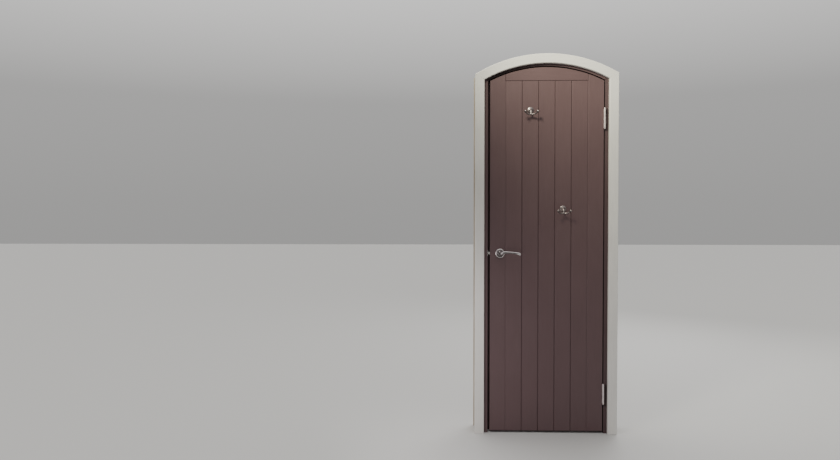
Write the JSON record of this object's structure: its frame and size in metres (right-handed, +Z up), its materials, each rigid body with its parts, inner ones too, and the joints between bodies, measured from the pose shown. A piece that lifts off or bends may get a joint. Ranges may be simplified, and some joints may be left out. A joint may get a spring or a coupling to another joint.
{
  "type": "arched boarded interior door in its frame",
  "caption": "Painted framed and boarded door with an arched head, hung in its frame with white architraves, lever handles, butt hinges, a latch and coat hooks.",
  "frame": {"origin": "on the outer face of the hinge side jamb, at mid depth and 0.950 m above the floor, where the frame is screwed to the wall", "axes": "+Z up, +X from the latch side to the hinge side and out of the jamb's outer face, -Y out of the leaf's face into the room that the door opens into"},
  "size_m": [0.767, 0.175, 2.051],
  "materials": {
    "mauve_paint": "satin mauve-brown paint on softwood",
    "white_paint": "satin off-white paint on softwood",
    "polished_chrome": "polished chrome plate",
    "bright_steel": "bright plated steel"
  },
  "bodies": {
    "frame": {"latch_jamb": "mauve_paint", "hinge_jamb": "mauve_paint", "head_jamb": "mauve_paint", "latch_stop": "mauve_paint", "hinge_stop": "mauve_paint", "head_stop": "mauve_paint", "latch_front_architrave": "white_paint", "hinge_front_architrave": "white_paint", "head_front_architrave": "white_paint", "latch_rear_architrave": "white_paint", "hinge_rear_architrave": "white_paint", "head_rear_architrave": "white_paint", "upper_hinge_jamb_flap": "bright_steel", "lower_hinge_jamb_flap": "bright_steel", "upper_hinge_pin": "bright_steel", "lower_hinge_pin": "bright_steel", "strike_plate": "bright_steel"},
    "leaf": {"latch_stile": "mauve_paint", "hinge_stile": "mauve_paint", "top_rail": "mauve_paint", "board_1": "mauve_paint", "board_2": "mauve_paint", "board_3": "mauve_paint", "board_4": "mauve_paint", "board_5": "mauve_paint", "middle_rail": "mauve_paint", "bottom_rail": "mauve_paint", "lower_brace": "mauve_paint", "upper_brace": "mauve_paint", "upper_hinge_leaf_flap": "bright_steel", "lower_hinge_leaf_flap": "bright_steel", "latch_case": "bright_steel", "front_rose": "polished_chrome", "rear_rose": "polished_chrome", "upper_coat_hook": "polished_chrome", "lower_coat_hook": "polished_chrome"},
    "lever": {"front_lever": "polished_chrome", "rear_lever": "polished_chrome", "spindle": "bright_steel"},
    "bolt": {"latch_bolt": "bright_steel"}
  },
  "joints": [
    {"name": "leaf_swing", "type": "hinge", "parent": "frame", "child": "leaf", "pos_m": [-0.0345, -0.0565, 0], "axis": [0, 0, 1], "range_deg": [0, 120]},
    {"name": "lever_turn", "type": "hinge", "parent": "leaf", "child": "lever", "pos_m": [-0.593, -0.028, 0.028], "axis": [0, 1, 0], "range_deg": [0, 40], "stiffness_Nm_per_rad": 1, "springref_deg": -34.38},
    {"name": "bolt_slide", "type": "slide", "parent": "leaf", "child": "bolt", "axis": [1, 0, 0], "range_m": [0, 0.008]}
  ],
  "couplings": [
    {"joint": "bolt_slide", "follows": "lever_turn", "m_per_rad": 0.01145}
  ]
}
